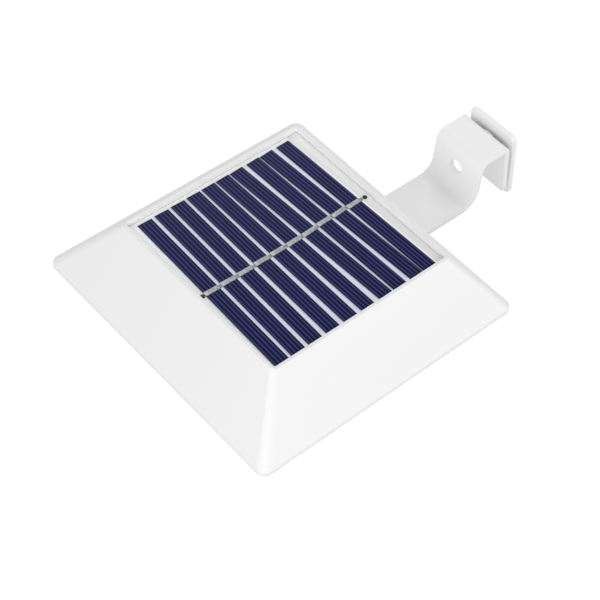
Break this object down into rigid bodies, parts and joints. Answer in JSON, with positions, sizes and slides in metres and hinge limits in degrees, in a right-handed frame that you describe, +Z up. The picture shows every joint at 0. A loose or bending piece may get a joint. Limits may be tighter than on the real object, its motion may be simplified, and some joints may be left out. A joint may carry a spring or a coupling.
{
  "type": "solar railing light",
  "caption": "Square white solar light: a sloping housing under a solar panel, lit from below, carried by a folded steel hook with a screw clamp for a rail edge.",
  "frame": {"origin": "middle of the hook's rail seat: the flat underside of the hook's top, half-way between riser and leg", "axes": "+Z up, +Y from the lamp out to the clamp, +X to the right when looking along +Y"},
  "size_m": [0.115, 0.166, 0.0362],
  "materials": {
    "white_abs": "moulded ABS, fine satin",
    "panel_laminate": "white laminate board under a clear film",
    "silicone": "white silicone sealant",
    "solar_silicon": "polycrystalline silicon under a clear film",
    "tinned_copper": "tinned copper ribbon",
    "solder": "dull dark solder",
    "rubber_seal": "black moulded rubber",
    "frosted_lens": "frosted polycarbonate",
    "white_reflector": "moulded white plastic",
    "circuit_board": "green solder mask",
    "led_phosphor": "yellow phosphor",
    "black_epoxy": "moulded black epoxy",
    "ferrite": "grey ferrite",
    "battery_wrap": "plain shrink sleeve on a steel can",
    "black_plastic": "moulded black plastic",
    "nickel_contact": "nickel plated strip",
    "switch_plastic": "moulded black plastic",
    "wire_pvc": "PVC insulation",
    "zinc_steel": "zinc plated steel",
    "white_powder_coat": "white powder coat on steel strap"
  },
  "bodies": {
    "lamp": {"housing": "white_abs", "base_plate": "white_abs", "panel_board": "panel_laminate", "panel_seal": "silicone", "solar_cells": "solar_silicon", "bus_ribbon": "tinned_copper", "solder_joints": "solder", "base_gasket": "rubber_seal", "lens": "frosted_lens", "reflector": "white_reflector", "led_board": "circuit_board", "leds": "led_phosphor", "driver_chip": "black_epoxy", "driver_coil": "ferrite", "battery": "battery_wrap", "battery_holder": "black_plastic", "contact_plate": "nickel_contact", "contact_leaf": "nickel_contact", "switch_body": "black_plastic", "panel_leads": "wire_pvc", "battery_leads": "wire_pvc", "switch_leads": "wire_pvc", "base_screws": "zinc_steel", "strap_screws": "zinc_steel", "board_screws": "zinc_steel", "strap": "white_powder_coat"},
    "switch_knob": {"switch_knob": "switch_plastic"},
    "clamp_screw": {"clamp_screw": "zinc_steel"},
    "clamp_plate": {"clamp_plate": "white_powder_coat"}
  },
  "joints": [
    {"name": "switch_slide", "type": "slide", "parent": "lamp", "child": "switch_knob", "axis": [-1, 0, 0], "range_m": [0, 0.003]},
    {"name": "clamp_plate_slide", "type": "slide", "parent": "lamp", "child": "clamp_plate", "axis": [0, 0.9895, 0.1444], "range_m": [-0.00035, 0.0028]},
    {"name": "clamp_screw_turn", "type": "hinge", "parent": "lamp", "child": "clamp_screw", "pos_m": [0, 0.00842, -0.00592], "axis": [0, -0.9895, -0.1444], "range_deg": [-180.5, 1440.5]}
  ],
  "couplings": [
    {"joint": "clamp_screw_turn", "follows": "clamp_plate_slide", "rad_per_m": 8976}
  ]
}
